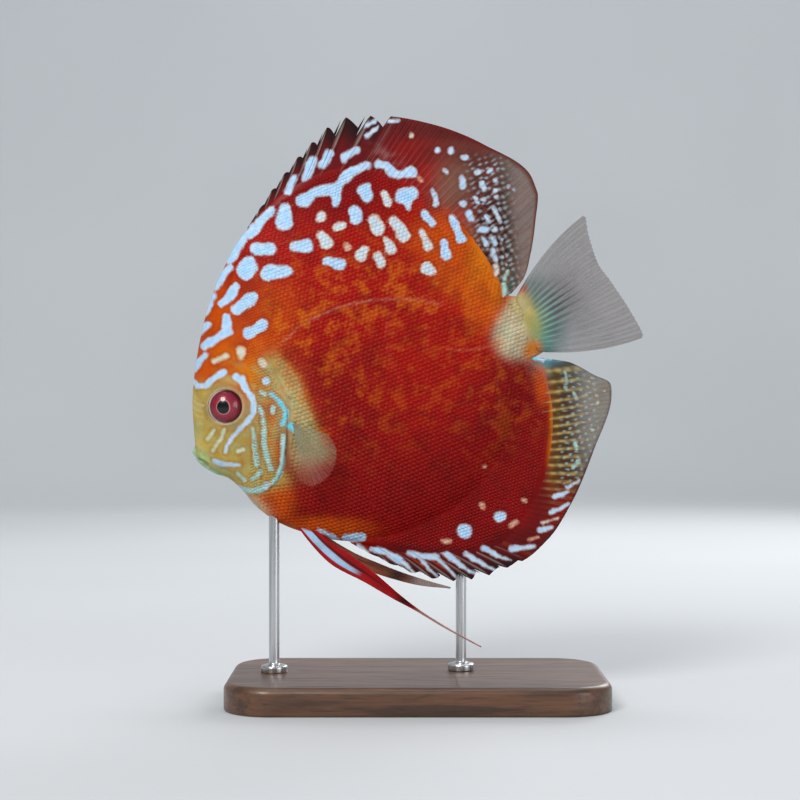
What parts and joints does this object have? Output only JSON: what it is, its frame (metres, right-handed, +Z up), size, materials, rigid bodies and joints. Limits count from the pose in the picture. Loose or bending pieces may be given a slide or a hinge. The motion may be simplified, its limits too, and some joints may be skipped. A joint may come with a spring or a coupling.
{
  "type": "discus fish",
  "caption": "Life-size disc-shaped aquarium fish with tall dorsal and anal fins, swimming nose-down, held over a flat base by rods.",
  "frame": {"origin": "on the surface under the stand's base, at the middle of the object's overall length and width", "axes": "+Z up, +X from the fish's head towards its tail, +Y towards its right side"},
  "size_m": [0.1484, 0.07, 0.1926],
  "materials": {
    "head_skin": "moist yellow skin with fine scales, pale blue lines and spots",
    "body_skin": "moist deep red scaled skin with orange mottling and pale blue spots",
    "fin": "red fin membrane over spines and branched rays, greyer and clearer to the rear",
    "fin_clear": "thin translucent greyish fin membrane with fine rays",
    "eye": "wet glossy eye, dark red iris round a black pupil",
    "stand_wood": "satin dark walnut",
    "stand_steel": "fine brushed stainless steel"
  },
  "bodies": {
    "root": {"head": "head_skin", "trunk": "body_skin", "tail": "body_skin", "dorsal_fin": "fin", "anal_fin": "fin", "caudal_fin": "fin_clear", "pelvic_fin_left": "fin", "pelvic_fin_right": "fin", "pectoral_fin_left": "fin_clear", "pectoral_fin_right": "fin_clear", "eye_left": "eye", "eye_right": "eye", "stand_base": "stand_wood", "stand_rod_front": "stand_steel", "stand_rod_rear": "stand_steel"}
  },
  "joints": []
}
